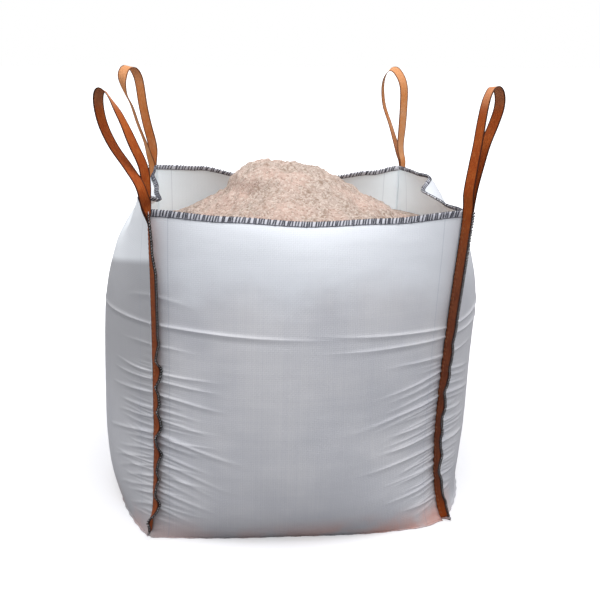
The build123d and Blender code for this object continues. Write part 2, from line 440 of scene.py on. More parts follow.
class Finish:
    """A material on its Principled shader, built up from coats of colour."""

    def __init__(self, name: str, roughness: float, ior: float, sheen: float = 0.0,
                 gloss: float = 0.5) -> None:
        """Makes the material with the values that are the same all over it.

        Args:
            name: The real finish's name.
            roughness: Its roughness.
            ior: Its refractive index.
            sheen: How much of a cloth's sheen it has.
            gloss: Its specular level, 0.5 as the IOR gives it.
        """
        self.material = bpy.data.materials.new(name)
        self.material.use_nodes = True
        self.tree = self.material.node_tree
        self.shader = self.tree.nodes["Principled BSDF"]
        for name, value in (("Roughness", roughness), ("IOR", ior), ("Sheen Weight", sheen),
                            ("Specular IOR Level", gloss)):
            self.shader.inputs[name].default_value = value
        self.where = self.add("TexCoord", out="Object")

    def add(self, kind: str, inputs: dict | tuple = (), out: str | int = 0,
            **settings) -> Socket:
        """Adds a node and gives one of its outputs."""
        return add(self.tree, kind, inputs, **settings).outputs[out]

    def coat(self, colour: str | Socket, tint: str, most: float,
             *steps: tuple | Socket) -> Socket:
        """Lays a tint over a colour.

        Args:
            colour: What is there already.
            tint: What is laid over it, as a hex colour.
            most: How much of it, where every step is full.
            steps: What it is held back by: a share, or a pattern with the values where
                the share is 0 and 1, and with the two shares where they are others.

        Returns:
            The new colour.
        """
        share = most
        for step in steps:
            if isinstance(step, tuple):
                step = self.add("MapRange", step, interpolation_type="SMOOTHSTEP")
            share = self.add("Math", (share, step), operation="MULTIPLY")
        return self.add("Mix", {0: share, 6: colour, 7: tint}, out=2, data_type="RGBA")

    def finish(self, colour: Socket, height: Socket, depth: float,
               roughness: Socket | None = None) -> Material:
        """Links colour, relief and roughness to the shader.

        Args:
            colour: The base colour.
            height: The relief, 0 to 1.
            depth: How high 1 is, in metres.
            roughness: Its roughness where it isn't the same all over.

        Returns:
            The finished material.
        """
        bump = self.add("Bump", {"Height": height, "Distance": depth, "Strength": 1.0})
        for name, socket in (("Base Color", colour), ("Normal", bump), ("Roughness", roughness)):
            if socket is not None:
                self.tree.links.new(socket, self.shader.inputs[name])
        return self.material


@dataclass(frozen=True)
class WovenCloth:
    """Uncoated woven polypropylene: flat slit tapes, so a satin cloth with a square grain.

    The real tapes are 2.5 mm wide. They are drawn 5 mm wide, so that the grain shows.
    Light passes through the cloth above the load, so it looks whiter there and inside.
    """

    name: str = "woven_polypropylene_cloth"
    tape: float = 0.005
    fold_inset: float = 0.053
    clean: str = "#d7d7da"
    shade: str = "#cacbd0"
    empty: str = "#e4e8ee"
    inner: str = "#f0faff"
    # painted light and painted shade on the left wall
    lit_side: str = "#f4f8fc"
    painted_shade_side: str = "#a6a6a9"
    # painted shade at the foot
    painted_low_shade: str = "#77757a"
    dust: str = "#d79c8b"
    fold_line: str = "#8e99ab"
    streak: str = "#b9bac6"
    # painted shade
    painted_weave_shade: str = "#8f919e"

    def make(self) -> Material:
        """Builds the material; the UV map is in metres along the weft and the warp.

        Returns:
            The material.
        """
        f = Finish(self.name, roughness=0.5, ior=1.49, sheen=0.08)
        uv, normal = f.add("UVMap", out="UV", uv_map="UVMap"), f.add("TexCoord", out="Normal")
        across, up, _ = add(f.tree, "SeparateXYZ", (uv,)).outputs
        x, y, high = add(f.tree, "SeparateXYZ", (f.where,)).outputs
        face_x = f.add("SeparateXYZ", (normal,))
        ridges = [f.add("Math", (f.add("Math", (way, self.tape), operation="DIVIDE"), 0.5),
                        operation="PINGPONG") for way in (across, up)]
        over = f.add("TexChecker", {"Vector": uv, "Scale": 1 / self.tape}, out="Fac")
        weave = f.add("Mix", {0: over, 2: ridges[0], 3: ridges[1]})
        warp, weft = (
            f.add("TexNoise", {"Vector": f.add("Mapping", {0: uv, 3: stretch}),
                               "Scale": 1.0, "Detail": 2.0})
            for stretch in ((150.0, 1.2, 1.0), (1.5, 170.0, 1.0))
        )
        streaks = f.add("Math", (warp, 0.6, f.add("Math", (weft, 0.4), operation="MULTIPLY")),
                        operation="MULTIPLY_ADD")
        cloud, drift, patch = (f.add("TexNoise", {"Vector": f.where, "Scale": scale, "Detail": detail})
                               for scale, detail in ((5.0, 3.0), (6.5, 4.0), (7.0, 4.0)))
        colour = f.coat(self.clean, self.shade, 1.0, (cloud, 0.35, 0.7))
        colour = f.coat(colour, self.streak, 0.16, (streaks, 0.36, 0.64))
        # painted shade in the grooves between the tapes
        colour = f.coat(colour, self.painted_weave_shade, 0.18, f.add("Math", (0.5, weave), operation="SUBTRACT"))
        # above the load, with a ragged lower edge
        ragged = f.add("Math", (drift, 0.22, high), operation="MULTIPLY_ADD")
        colour = f.coat(colour, self.empty, 0.85, (ragged, 0.71, 0.87))
        # the left wall: painted light above the load and painted shade below it, the shade easing towards
        # the foot, with a straight edge that rises to the front
        facing_left = (face_x, -0.45, -0.75)
        nearer = f.add("Math", (y, 0.0), operation="MINIMUM")
        level = f.add("Math", (nearer, 0.20, high), operation="MULTIPLY_ADD")
        colour = f.coat(colour, self.lit_side, 0.9, facing_left, (level, 0.664, 0.690))
        colour = f.coat(colour, self.painted_shade_side, 1.0, facing_left, (level, 0.690, 0.664),
                        (high, 0.22, 0.52, 0.25, 0.80))
        outwards = add(f.tree, "VectorMath", (normal, f.where), operation="DOT_PRODUCT").outputs["Value"]
        colour = f.coat(colour, self.inner, 0.9, (outwards, 0.05, -0.15))
        # painted shade at the foot, where the bag meets the floor, less on the right, and red dust at the
        # foot
        colour = f.coat(colour, self.painted_low_shade, 1.0, (high, 0.13, 0.0), (x, 0.10, 0.34, 0.32, 0.10))
        colour = f.coat(colour, self.dust, 1.0, (high, 0.085, 0.0), (patch, 0.36, 0.62),
                        (x, -0.20, 0.36, 0.30, 0.90), (x, 0.45, 0.40))
        # the two upright lines where the cloth was folded flat
        half = BagForm.cut_width / 2
        fold = across
        for line in (half, half - self.fold_inset):
            fold = f.add("Math", (f.add("Math", (fold, line), operation="SUBTRACT"),), operation="ABSOLUTE")
        colour = f.coat(colour, self.fold_line, 0.30, (fold, 0.0018, 0.0004))
        return f.finish(colour, f.add("Math", (streaks, 0.6, weave), operation="MULTIPLY_ADD"), 0.0005,
                        f.add("Math", (streaks, 0.18, 0.42), operation="MULTIPLY_ADD"))


@dataclass(frozen=True)
class Webbing:
    """Woven polypropylene webbing: a ribbed, matt strap with darker, bound edges.

    Its ribs are 2 to 3 mm apart. They are drawn 5 mm apart, so that they show.
    """

    name: str = "ribbed_polypropylene_webbing"
    half_width: float = 0.0175
    rib: float = 0.005
    pick: float = 0.004
    colour: str = "#93400f"
    worn: str = "#ae5a20"
    # painted shade
    painted_rib_shade: str = "#75300f"
    fibre: str = "#cc8444"
    # painted highlight
    painted_crown_highlight: str = "#dda57c"
    edge: str = "#2f120a"
    # painted shade on the sewn legs
    painted_low_shade: str = "#664338"

    def make(self) -> Material:
        """Builds the material; UV X is the distance from the strap's middle.

        Returns:
            The material.
        """
        f = Finish(self.name, roughness=0.7, ior=1.49, sheen=0.02, gloss=0.12)
        uv = f.add("UVMap", out="UV", uv_map="UVMap")
        u, v, _ = add(f.tree, "SeparateXYZ", (uv,)).outputs
        x, _, high = add(f.tree, "SeparateXYZ", (f.where,)).outputs
        across = f.add("Math", (u,), operation="ABSOLUTE")
        rib, row = (
            f.add("Math", (f.add("Math", (way, size), operation="DIVIDE"), 0.5), operation="PINGPONG")
            for way, size in ((across, self.rib), (v, self.pick))
        )
        grain = f.add("TexNoise", {"Vector": f.add("Mapping", {0: uv, 3: (400.0, 60.0, 1.0)}),
                                   "Scale": 1.0, "Detail": 2.0})
        cloud, mottle = (f.add("TexNoise", {"Vector": f.where, "Scale": scale, "Detail": detail})
                         for scale, detail in ((14.0, 3.0), (240.0, 2.0)))
        colour = f.coat(self.colour, self.worn, 0.55, (cloud, 0.40, 0.72))
        # painted shade in the valleys between the ribs
        colour = f.coat(colour, self.painted_rib_shade, 0.55, f.add("Math", (0.5, rib), operation="SUBTRACT"))
        colour = f.coat(colour, self.fibre, 0.25, (grain, 0.45, 0.75))
        sewn = ((high, 0.93, 0.68), (high, 0.0, 0.14))
        # painted shade down the sewn legs, fading out near the floor and heavier on the right-hand straps
        colour = f.coat(colour, self.painted_low_shade, 1.0, *sewn, (x, -0.1, 0.1, 0.26, 0.54))
        colour = f.coat(colour, self.edge, 0.40, *sewn, (mottle, 0.46, 0.66))
        # painted highlight on the tops of the loops
        colour = f.coat(colour, self.painted_crown_highlight, 0.45, (high, 1.115, 1.185))
        colour = f.coat(colour, self.edge, 0.9,
                        (across, self.half_width - 0.0062, self.half_width - 0.0034))
        return f.finish(colour, f.add("Math", (row, 0.5, rib), operation="MULTIPLY_ADD"), 0.0008)


@dataclass(frozen=True)
class Thread:
    """Spun multifilament sewing thread: matt, with a fine twist, about one turn to a millimetre."""

    name: str
    dark: str
    light: str

    def make(self) -> Material:
        """Builds the material."""
        f = Finish(self.name, roughness=0.7, ior=1.5, sheen=0.1)
        twist, patch = (f.add("TexNoise", {"Vector": f.where, "Scale": scale, "Detail": detail})
                        for scale, detail in ((900.0, 1.0), (60.0, 2.0)))
        colour = f.coat(self.dark, self.light, 1.0, (patch, 0.35, 0.75), (twist, 0.3, 0.7))
        return f.finish(colour, twist, 0.0003)


@dataclass(frozen=True)
class BuildingSand:
    """Damp pinkish building sand: dull, with coarse grains of several colours.

    Its grains are 0.5 to 2 mm. They are drawn about 5 mm across, so that they show.
    """

    grain: float = 0.005
    pale: str = "#ddd0c5"
    body: str = "#c2afa4"
    warm: str = "#c9aea1"
    dark: str = "#9b8676"
    flint: str = "#836a59"

    def make(self) -> Material:
        """Builds the material."""
        f = Finish("damp_building_sand", roughness=0.95, ior=1.45)
        grains = add(f.tree, "TexVoronoi", {"Vector": f.where, "Scale": 1 / self.grain})
        tint = add(f.tree, "SeparateColor", (grains.outputs["Color"],)).outputs
        clump, drift = (
            f.add("TexNoise", {"Vector": f.where, "Scale": scale, "Detail": detail, "Roughness": rough})
            for scale, detail, rough in ((52.0, 6.0, 0.7), (7.0, 3.0, 0.5))
        )
        colour = f.coat(self.dark, self.body, 1.0, (clump, 0.34, 0.60))
        colour = f.coat(colour, self.warm, 1.0, (drift, 0.42, 0.66))
        colour = f.coat(colour, self.pale, 0.6, (tint[0], 0.55, 0.90))
        colour = f.coat(colour, self.flint, 0.45, (tint[1], 0.80, 0.97))
        relief = f.add("Math", (grains.outputs["Distance"], -0.35, clump), operation="MULTIPLY_ADD")
        return f.finish(colour, relief, 0.006)


@dataclass(frozen=True)
class Finishes:
    """Every material of the bag."""

    cloth: Material
    hem: Material
    webbing: Material
    faded_webbing: Material
    seam_thread: Material
    rim_thread: Material
    strap_thread: Material
    sand: Material

    @classmethod
    def make(cls) -> "Finishes":
        """Builds them all."""
        return cls(
            cloth=WovenCloth().make(),
            hem=WovenCloth("shaded_hem_cloth", clean="#c4c4cb", shade="#b4b4bd", empty="#c6c7cf",
                           inner="#ccced6").make(),
            webbing=Webbing().make(),
            # the back straps: a paler copy of the webbing, made paler partly as painted light on their
            # shaded side
            faded_webbing=Webbing("sun_faded_webbing", colour="#d68a4e", worn="#e4b085",
                                  fibre="#ebc9a4", edge="#6b4029").make(),
            seam_thread=Thread("black_overlock_thread", "#171211", "#5d5550").make(),
            rim_thread=Thread("grey_overlock_thread", "#393a45", "#80818d").make(),
            strap_thread=Thread("rust_needle_thread", "#8d4a22", "#d39a66").make(),
            sand=BuildingSand().make(),
        )


# --- building meshes ---


def grid_mesh(
    name: str,
    across: int,
    along: int,
    place: Callable[[Array, Array], Array],
    uv: Callable[[Array, Array], Array],
    closed: bool = False,
) -> bpy.types.Object:
    """Bends a flat grid into a surface or a capped tube.

    Args:
        name: The new object's name.
        across: How many faces it has in its first direction.
        along: How many it has in its second.
        place: Gives the points for shares 0 to 1 in the two directions.
        uv: Gives the UV map for the same shares.
        closed: The first direction goes round and meets itself, and both ends are capped.

    Returns:
        The new object, linked to the scene.
    """
    bm = bmesh.new()
    layer = bm.loops.layers.uv.new("UVMap")
    bmesh.ops.create_grid(bm, x_segments=across, y_segments=along, size=0.5)
    shares = np.array([(v.co.x + 0.5, v.co.y + 0.5) for v in bm.verts])
    bm.verts.index_update()
    points = place(shares[:, 0], shares[:, 1])
    flat = uv(shares[:, 0], shares[:, 1])
    for face in bm.faces:
        face.smooth = True
        for loop in face.loops:
            loop[layer].uv = flat[loop.vert.index]
    for vert, point in zip(bm.verts, points):
        vert.co = point
    if closed:
        bmesh.ops.remove_doubles(bm, verts=bm.verts, dist=1e-6)
        ends = [e for e in bm.edges if e.is_boundary]
        bmesh.ops.holes_fill(bm, edges=ends, sides=0)
        bmesh.ops.recalc_face_normals(bm, faces=bm.faces)
    return as_object(bm, name)


def in_scene(name: str, data: bpy.types.ID) -> bpy.types.Object:
    """A new object in the scene for a mesh, a lamp or a camera.

    Args:
        name: The object's name.
        data: What it shows.

    Returns:
        The object.
    """
    made = bpy.data.objects.new(name, data)
    bpy.context.scene.collection.objects.link(made)
    return made


def as_object(bm: bmesh.types.BMesh, name: str) -> bpy.types.Object:
    """Frees a bmesh into a new object in the scene.

    Args:
        bm: The bmesh, which can't be used after.
        name: The object's name.

    Returns:
        The object.
    """
    mesh = bpy.data.meshes.new(name)
    bm.to_mesh(mesh)
    bm.free()
    return in_scene(name, mesh)


def dress(piece: bpy.types.Object, material: Material) -> bpy.types.Object:
    """Gives a piece its material.

    Args:
        piece: The piece.
        material: Its finish.

    Returns:
        The same piece.
    """
    piece.data.materials.clear()
    piece.data.materials.append(material)
    return piece


def thicken(piece: bpy.types.Object, thickness: float) -> None:
    """Gives an open sheet its thickness, inwards.

    Args:
        piece: The sheet.
        thickness: Its thickness in metres.
    """
    solid = piece.modifiers.new("thickness", "SOLIDIFY")
    solid.thickness = thickness
    solid.offset = -1.0
    solid.use_even_offset = False


def threads(name: str, lines: Sequence[Array], radius: float,
            material: Material) -> bpy.types.Object:
    """Sewn threads: a round tube along each line, all in one mesh.

    Args:
        name: The piece's name.
        lines: The points of each thread.
        radius: Half the thread's thickness.
        material: The thread's finish.

    Returns:
        The new object.
    """
    curve = bpy.data.curves.new(name, "CURVE")
    curve.dimensions = "3D"
    curve.bevel_depth = radius
    curve.bevel_resolution = 1
    curve.use_fill_caps = True
    for line in lines:
        spline = curve.splines.new("POLY")
        spline.points.add(len(line) - 1)
        spline.points.foreach_set("co", np.c_[line, np.ones(len(line))].ravel())
    bare = bpy.data.objects.new(name + "_line", curve)
    mesh = bpy.data.meshes.new_from_object(bare)
    bpy.data.objects.remove(bare)
    bpy.data.curves.remove(curve)
    mesh.shade_smooth()
    return dress(in_scene(name, mesh), material)


@dataclass
class Ribbon:
    """A flat strip with rounded edges that follows a line.

    centres, across and normal hold one row for each step along it.
    """

    centres: Array
    across: Array
    normal: Array
    width: float
    thickness: float
    squareness: float = 0.22

    def section(self, around: Array) -> tuple[Array, Array]:
        """How far across and how far up a point is, at a share of the way round the section.

        Args:
            around: Shares from 0 to 1.

        Returns:
            The distances across and up from the strip's middle.
        """
        cosine, sine = np.cos(2 * math.pi * around), np.sin(2 * math.pi * around)
        wide = np.sign(cosine) * np.abs(cosine) ** self.squareness * self.width / 2
        return wide, np.sign(sine) * np.abs(sine) ** 0.5 * self.thickness / 2

    def step(self, along: Array) -> Array:
        """The number of the row at a share of the way along the strip."""
        return np.round(along * (len(self.centres) - 1)).astype(int)

    def place(self, around: Array, along: Array) -> Array:
        """The point at a share of the way round the section and along the strip."""
        (wide, high), step = self.section(around), self.step(along)
        return self.centres[step] + self.across[step] * wide[:, None] + self.normal[step] * high[:, None]

    def uv(self, around: Array, along: Array) -> Array:
        """The distance from the strip's middle, and along it, in metres."""
        return side_by_side(self.section(around)[0], run_of(self.centres)[self.step(along)])

    def mesh(self, name: str, around: int = 16) -> bpy.types.Object:
        """Builds the strip as one closed mesh."""
        return grid_mesh(name, around, len(self.centres) - 1, self.place, self.uv, closed=True)


@dataclass
class Overlock:
    """Overlock stitches: loops of thread that wrap the raw edge of the cloth.

    edge is the cloth's edge, inward points from it into the cloth, and normal is its face.
    """

    edge: Array
    inward: Array
    normal: Array
    reach: float
    thickness: float
    pitch: float = 0.0105
    slant: float = 0.55
    radius: float = 0.0011
    unevenness: float = 0.12
    raggedness: float = 0.0
    seed: int = 1

    def lines(self) -> list[Array]:
        """Two strands for each stitch, from one needle line over the edge to the other.

        Returns:
            The points of each strand.
        """
        chance = np.random.default_rng(self.seed)
        run = run_of(self.edge)
        made = []
        face = self.thickness / 2 + self.radius * 0.7
        section = ((1.0, face, 0.0), (0.45, face * 1.1, 0.25), (0.0, face * 0.9, 0.5),
                   (-self.radius / self.reach, 0.0, 0.62), (0.0, -face * 0.9, 0.75),
                   (0.45, -face * 1.1, 1.0), (1.0, -face, 1.25))
        for start in np.arange(self.pitch * 0.4, run[-1] - self.pitch * 0.8, self.pitch):
            start += chance.uniform(-1.0, 1.0) * self.unevenness * self.pitch
            uneven = 1.5 * chance.uniform(-1.0, 1.0) * self.unevenness
            slant = self.slant * self.pitch * (1.0 + uneven)
            reach = self.reach * (1.0 + chance.uniform(-1.0, 1.0) * self.raggedness)
            for strand in (0.0, 2.1 * self.radius):
                line = []
                for depth, out, share in section:
                    at = min(max(start + strand + share * slant, 0.0), run[-1])
                    point, inward, normal = (read_off(at, run, rows)
                                             for rows in (self.edge, self.inward, self.normal))
                    line.append(point + inward * (depth * reach) + normal * out)
                made.append(np.array(line))
        return made


# --- walls, rim and base ---


@dataclass(frozen=True)
class Crease:
    """One tension crease: where it leaves the seam, how it falls, how far it runs, how high it is."""

    level: float
    fall: float
    length: float
    size: float
    width: float = 0.0030


@dataclass
class Creases:
    """Tension creases that run out from the corner seams of one wall.

    falling and rising hold the long creases, each with Crease's fields in order.
    The sand pushes the wall out and the seam holds it back, so the slack beside the seam
    gathers into sharp, near-level ridges that are steeper above than below.
    """

    side: Side
    count: int = 32
    lowest: float = 0.06
    highest: float = 0.49
    length: tuple[float, float] = (0.08, 0.20)
    size: float = 0.0036
    width: tuple[float, float] = (0.0024, 0.0032)
    pucker: float = 0.0008
    busy_height: float = 0.24
    busy_spread: float = 0.19
    falling: tuple[tuple[float, ...], ...] = (
        (0.593, 0.04, 0.56, 0.0046, 0.0040), (0.670, 0.16, 0.16, 0.0016, 0.0050),
        (0.537, 0.05, 0.16, 0.0018, 0.0036), (0.463, 0.03, 0.22, 0.0036), (0.444, 0.07, 0.23, 0.0038),
        (0.406, 0.10, 0.25, 0.0042, 0.0034), (0.364, 0.08, 0.17, 0.0030), (0.338, 0.12, 0.20, 0.0038),
        (0.298, 0.20, 0.31, 0.0046, 0.0034), (0.279, 0.18, 0.18, 0.0034), (0.247, 0.20, 0.20, 0.0034),
        (0.223, 0.23, 0.26, 0.0038), (0.200, 0.27, 0.22, 0.0038), (0.172, 0.26, 0.18, 0.0032),
        (0.143, 0.24, 0.22, 0.0038), (0.124, 0.24, 0.16, 0.0030), (0.090, 0.26, 0.15, 0.0030),
    )
    rising: tuple[tuple[float, ...], ...] = (
        (0.560, -0.05, 0.48, 0.0038, 0.0038), (0.534, -0.01, 0.44, 0.0042, 0.0040),
        (0.482, 0.0, 0.24, 0.0030, 0.0034), (0.436, 0.14, 0.26, 0.0036), (0.417, 0.14, 0.22, 0.0034),
        (0.391, 0.14, 0.24, 0.0032), (0.366, 0.14, 0.34, 0.0044, 0.0034), (0.350, 0.14, 0.26, 0.0036),
        (0.314, 0.12, 0.20, 0.0032), (0.282, 0.10, 0.24, 0.0032), (0.262, 0.09, 0.25, 0.0036),
        (0.218, 0.07, 0.31, 0.0044, 0.0034), (0.188, 0.08, 0.18, 0.0030), (0.160, 0.10, 0.20, 0.0032),
        (0.119, 0.11, 0.22, 0.0036), (0.066, 0.02, 0.16, 0.0030),
    )

    def main_ones(self, at_end: bool) -> tuple[Crease, ...]:
        """The long creases beside one seam of the wall."""
        corner = self.side.corners[int(at_end)]
        rows = self.falling if corner.x == corner.y else self.rising
        return tuple(Crease(*row) for row in rows)

    def relief(self, share: Array, height: Array) -> Array:
        """How far each point of the wall stands out.

        Args:
            share: 0 at the first seam to 1 at the second.
            height: The point's height on the undented wall.

        Returns:
            The relief in metres.
        """
        chance = np.random.default_rng(self.side.seed)
        out = np.zeros_like(share)
        for at_end in (False, True):
            reach = ((1 - share) if at_end else share) * BagForm.cut_width
            levels = np.linspace(self.lowest, self.highest, self.count)
            levels += chance.uniform(-0.5, 0.5, self.count) * (levels[1] - levels[0])
            for level in levels:
                busy = math.exp(-(((level - self.busy_height) / self.busy_spread) ** 2))
                length = chance.uniform(*self.length) * (0.6 + 0.7 * busy)
                size = self.size * chance.uniform(0.45, 1.0) * (0.25 + 0.75 * busy)
                fall = chance.uniform(0.0, 0.12) + 0.10 * (1 - smooth(np.array(level / 0.35)))
                width = chance.uniform(*self.width)
                out += self.ridge(reach, height, Crease(level, fall, length, size, width))
            for crease in self.main_ones(at_end):
                out += self.ridge(reach, height, crease)
            ripple = np.sin(2 * math.pi * height / 0.024 + 3.0 * np.sin(height * 23.0))
            out += self.pucker * ripple * np.exp(-((reach / 0.03) ** 2)) * smooth((0.56 - height) / 0.1)
        return out

    @staticmethod
    def ridge(reach: Array, height: Array, crease: Crease) -> Array:
        """One crease: a sharp ridge, steep above and easier below, that fades out along its length.

        Args:
            reach: Each point's distance from the seam, along the cloth.
            height: Its height on the undented wall.
            crease: The crease.

        Returns:
            The relief at each point, in metres.
        """
        along = reach / crease.length
        fade = smooth(1.25 * (1.0 - along)) * (0.6 + 0.4 * smooth(along / 0.12))
        drop = crease.fall * reach * (0.85 + 0.4 * along)
        bent = crease.level - drop - 0.0018 * np.sin(7.0 * along + 40.0 * crease.level) * along
        off = (height - bent) / (crease.width * (1.0 + 0.35 * along))
        off = off * np.where(off > 0, 1.15, 0.62)
        crest = np.exp(-np.abs(off) ** 1.35)
        return 1.3 * crease.size * fade * (crest - 0.14 * np.exp(-((off + 2.0) ** 2) / 1.2))


@dataclass
class Wall:
    """One wall of the bag with its overlocked rim and its base seam."""

    side: Side
    finishes: Finishes
    columns: int = 74
    rows: int = 590
    hem_thickness: float = 0.0046
    overhang: float = 0.0015
    foot_steps: int = 120

    def relief(self, share: Array, height: Array, point: Array) -> Array:
        """Creases, and the soft lumps that the sand presses into the cloth.

        Args:
            share: 0 at the first seam to 1 at the second.
            height: The height on the undented wall.
            point: The same points in space.

        Returns:
            How far each point stands out, in metres.
        """
        lumps = 0.0028 * fine_noise(point * np.array([1.0, 1.0, 1.3]), 4.5, self.side.seed)
        lumps += 0.0005 * fine_noise(point * np.array([1.0, 1.0, 2.2]), 16.0, self.side.seed + 5)
        free = smooth((BagForm.height - height) / 0.05) * smooth(height / 0.03)
        edge = smooth(self.side.length_to_seam(share) / 0.05)
        return Creases(self.side).relief(share, height) * free + lumps * free * edge

    def surface(self, share: Array, height: Array) -> Array:
        """The cloth's outer face, creases and all.

        Args:
            share: 0 at the first seam to 1 at the second.
            height: The height on the undented wall.

        Returns:
            One row of X, Y and Z for each point.
        """
        point = self.side.hung_point(share, height)
        step = 0.002
        inner = np.clip(share, 0.004, 0.996)
        level = np.clip(height, step, BagForm.height - step)
        hung = self.side.hung_point
        round_it = hung(inner + 0.003, level) - hung(inner - 0.003, level)
        up_it = hung(inner, level + step) - hung(inner, level - step)
        normal = unit(np.cross(round_it, up_it))
        return point + normal * self.relief(share, height, point)[:, None]

    @staticmethod
    def spaced(first: Array, second: Array) -> tuple[Array, Array]:
        """Grid shares to wall shares and heights, closer together where creases are.

        Args:
            first: Shares across the grid.
            second: Shares up the grid.

        Returns:
            Wall shares and heights.
        """
        share = np.interp(first, (0.0, 0.36, 0.64, 1.0), (0.0, 0.27, 0.73, 1.0))
        height = np.interp(second, (0.0, 0.82, 1.0), (BagForm.base, 0.62, BagForm.height))
        return share, height

    def cloth(self) -> bpy.types.Object:
        """The wall itself."""
        piece = grid_mesh(
            f"{self.side.name}_wall_cloth", self.columns, self.rows,
            lambda a, b: self.surface(*self.spaced(a, b)),
            lambda a, b: side_by_side(*self.spaced(a, b)) * (BagForm.cut_width, 1.0),
        )
        thicken(piece, BagForm.wall)
        return dress(piece, self.finishes.cloth)

    def edge_line(self, height: float, count: int, ends: float) -> tuple[Array, Array, Array]:
        """Points, upward and outward vectors along the cloth at one height.

        Args:
            height: The height of the line.
            count: How many points it has.
            ends: The share of the wall left free at each end.

        Returns:
            The points, up and out, one row for each.
        """
        share = np.linspace(ends, 1 - ends, count)
        at = self.surface(share, np.full(count, height))
        below = self.surface(share, np.full(count, max(height - 0.02, 0.001)))
        up = unit(at - below) if height > 0.1 else np.tile(UP, (count, 1))
        return at, up, unit(np.cross(ways(at), up))

    def rim(self) -> list[bpy.types.Object]:
        """The hem, the loops of thread that wrap it and the two needle rows that hold them."""
        at, up, out = self.edge_line(BagForm.height - 0.001, 150, 0.004)
        hem_width, radius = self.side.hem_width, self.side.thread_radius
        deep = out * (BagForm.wall / 2)
        hem = Ribbon(at - up * (hem_width / 2 - self.overhang) - deep, up, out, hem_width,
                     self.hem_thickness, 0.45)
        band = dress(hem.mesh(f"{self.side.name}_rim_binding", 12), self.finishes.hem)
        stitches = Overlock(at + up * self.overhang - deep, -up, out, hem_width - 0.001,
                            self.hem_thickness, pitch=self.side.stitch_pitch, slant=0.95, radius=radius,
                            unevenness=0.3, raggedness=0.14, seed=self.side.seed)
        needle = at - up * (hem_width - 0.0022)
        rows = [needle + out * (face * self.hem_thickness / 2) - deep for face in (1, -1)]
        loops = threads(f"{self.side.name}_rim_overlock", stitches.lines() + rows, radius,
                        self.finishes.rim_thread)
        return [band, loops]

    def foot(self) -> list[bpy.types.Object]:
        """The base seam: the two raw edges turned outwards on the floor, and their thread."""
        at = self.side.plain_point(np.linspace(0.006, 0.994, self.foot_steps), np.zeros(self.foot_steps))
        out, up = unit(np.cross(ways(at), UP)), np.tile(UP, (self.foot_steps, 1))
        ripple = 0.0012 * np.sin(np.arange(self.foot_steps) * 0.9)
        middle = at - out * 0.005 + out * ripple[:, None] + UP * 0.0015
        strip = Ribbon(middle, out, up, 0.016, 0.0026, 0.4)
        seam = dress(strip.mesh(f"{self.side.name}_foot_seam", 12), self.finishes.cloth)
        stitches = Overlock(middle + out * 0.0072, -out, up, 0.008, 0.0004,
                            pitch=0.012, radius=0.0006, seed=self.side.seed + 1)
        loops = threads(f"{self.side.name}_foot_overlock", stitches.lines(), stitches.radius,
                        self.finishes.rim_thread)
        return [seam, loops]

    def build(self) -> None:
        cloth, rim, foot = self.cloth(), self.rim(), self.foot()
        name = self.side.name
        for piece in [cloth, *rim, *foot]:
            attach(piece, BAG)
        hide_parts(f"{name}_panel")
        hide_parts(f"{name}_rim_hem")
        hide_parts(f"{name}_base_seam")
        log.info("%s wall: %d faces", name, len(cloth.data.polygons))


@dataclass
class Outline:
    """The square-ish outline of the bag at one height, filled in from its four sides."""

    inset: float

    def edge(self, side: Side, share: Array, height: Array) -> Array:
        """A point on the outline, drawn in towards the middle by the inset."""
        point = side.plain_point(share, height)
        return point - unit(point * LEVEL) * self.inset

    def inside(self, first: Array, second: Array, height: Array) -> Array:
        """Blends the four sides over the inside of the outline (a Coons patch).

        Args:
            first: Shares from the left wall to the right.
            second: Shares from the front to the back.
            height: The height of the outline.

        Returns:
            One row of X, Y and Z for each point.
        """
        a, b = first[:, None], second[:, None]
        zero, one = np.zeros_like(first), np.ones_like(first)
        front, back = self.edge(FRONT, first, height), self.edge(BACK, 1 - first, height)
        left, right = self.edge(LEFT, 1 - second, height), self.edge(RIGHT, second, height)
        corners = (
            self.edge(FRONT, zero, height) * (1 - a) * (1 - b)
            + self.edge(FRONT, one, height) * a * (1 - b)
            + self.edge(BACK, one, height) * (1 - a) * b
            + self.edge(BACK, zero, height) * a * b
        )
        return front * (1 - b) + back * b + left * (1 - a) + right * a - corners


@dataclass
class Base:
    """The square of cloth that the bag stands on."""

    finishes: Finishes
    size: float = 0.87
    inset: float = 0.004
    faces: int = 60

    def place(self, first: Array, second: Array) -> Array:
        """The base's upper face: flat, with the faint ripples that its seam pulls."""
        point = Outline(self.inset).inside(first, second, np.zeros_like(first))
        point[:, 2] = BagForm.base - 0.0005 + np.abs(fine_noise(point, 9.0, 3.0)) * 0.0004
        return point

    def build(self) -> None:
        """Makes the base, flat on the floor."""
        piece = grid_mesh("base_cloth", self.faces, self.faces, self.place,
                          lambda a, b: side_by_side(a, b) * self.size)
        thicken(piece, BagForm.base - 0.0006)
        dress(piece, self.finishes.cloth)
        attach(piece, BAG)
        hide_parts("base_panel")
        log.info("base: %d faces", len(piece.data.polygons))


